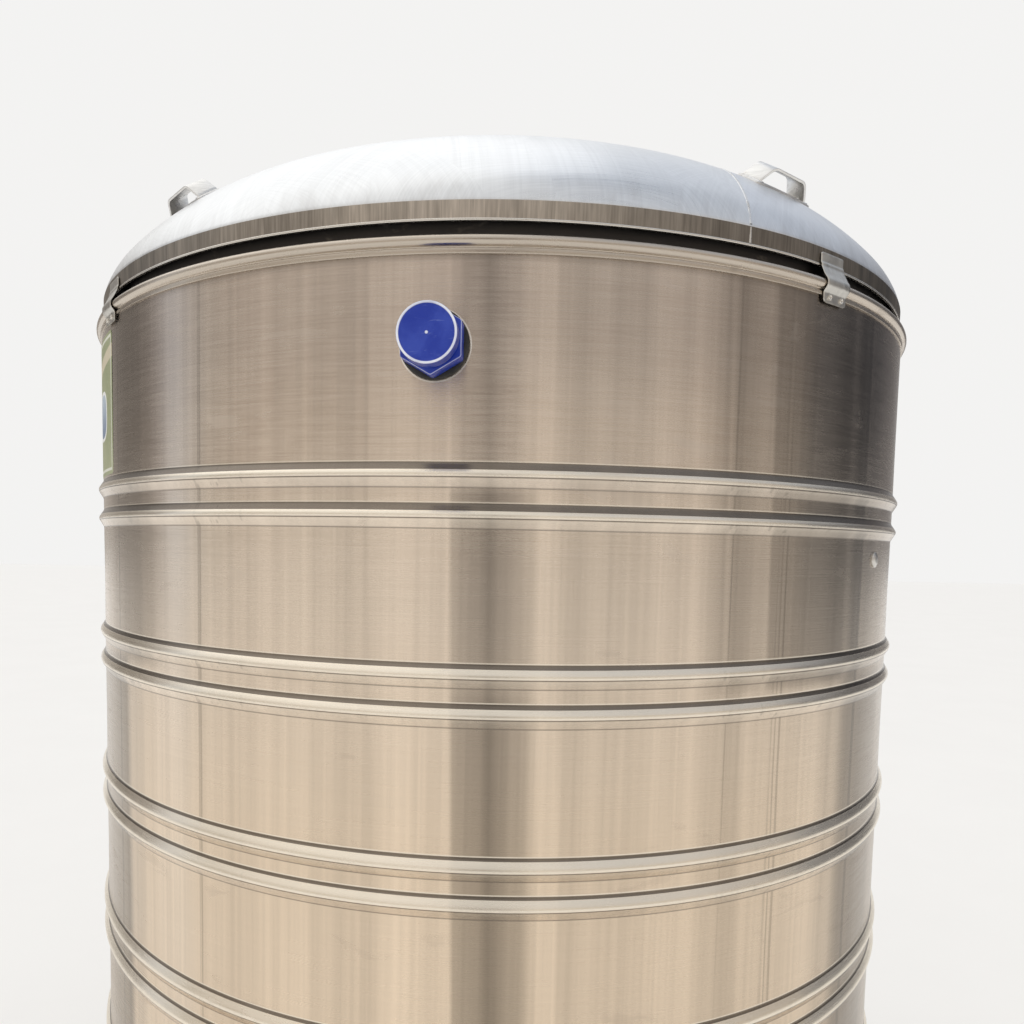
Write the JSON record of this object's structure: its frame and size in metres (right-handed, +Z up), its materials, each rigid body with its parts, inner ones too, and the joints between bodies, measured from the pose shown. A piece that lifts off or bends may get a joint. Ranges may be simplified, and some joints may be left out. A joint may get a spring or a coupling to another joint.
{
  "type": "stainless steel water tank",
  "caption": "Upright cylindrical water storage tank in thin stainless sheet with ribbed wall, shallow domed lid, lid clips, lifting lugs and plugged wall socket.",
  "frame": {"origin": "centre of the base, on the floor", "axes": "+Z up the tank's axis, -Y the front with the plugged inlet socket, +X the right-hand side seen from the front"},
  "size_m": [1.212, 1.2506, 2.0347],
  "materials": {
    "base_steel": "satin",
    "cap_plastic": "moulded",
    "clip_steel": "satin",
    "fitting_steel": "machined",
    "gasket_rubber": "matt",
    "label_film": "printed film",
    "lug_steel": "satin",
    "rim_steel": "satin",
    "roof_steel": "fine brushed",
    "skirt_steel": "fine brushed",
    "wall_steel": "fine brushed"
  },
  "bodies": {
    "root": {"base_plate": "base_steel", "clip_bolts": "clip_steel", "foot_ring": "base_steel", "inlet_gasket": "gasket_rubber", "inlet_plug": "cap_plastic", "inlet_socket": "fitting_steel", "lifting_lug_left_back": "lug_steel", "lifting_lug_left_front": "lug_steel", "lifting_lug_right_back": "lug_steel", "lifting_lug_right_front": "lug_steel", "lug_plate_left_back": "lug_steel", "lug_plate_left_front": "lug_steel", "lug_plate_right_back": "lug_steel", "lug_plate_right_front": "lug_steel", "outlet_collar": "fitting_steel", "outlet_socket": "fitting_steel", "rim_ring": "rim_steel", "roof_clip_left_back": "clip_steel", "roof_clip_left_front": "clip_steel", "roof_clip_right_back": "clip_steel", "roof_clip_right_front": "clip_steel", "roof_locating_ring": "skirt_steel", "roof_main_sheet": "roof_steel", "roof_side_sheet": "roof_steel", "roof_skirt": "skirt_steel", "roof_skirt_hem": "skirt_steel", "roof_weld": "roof_steel", "side_label": "label_film", "side_stud": "fitting_steel", "wall_back_left": "wall_steel", "wall_back_right": "wall_steel", "wall_front_left": "wall_steel", "wall_front_right": "wall_steel", "wall_left_back": "wall_steel", "wall_left_front": "wall_steel", "wall_right_back": "wall_steel", "wall_right_front": "wall_steel"}
  },
  "joints": []
}
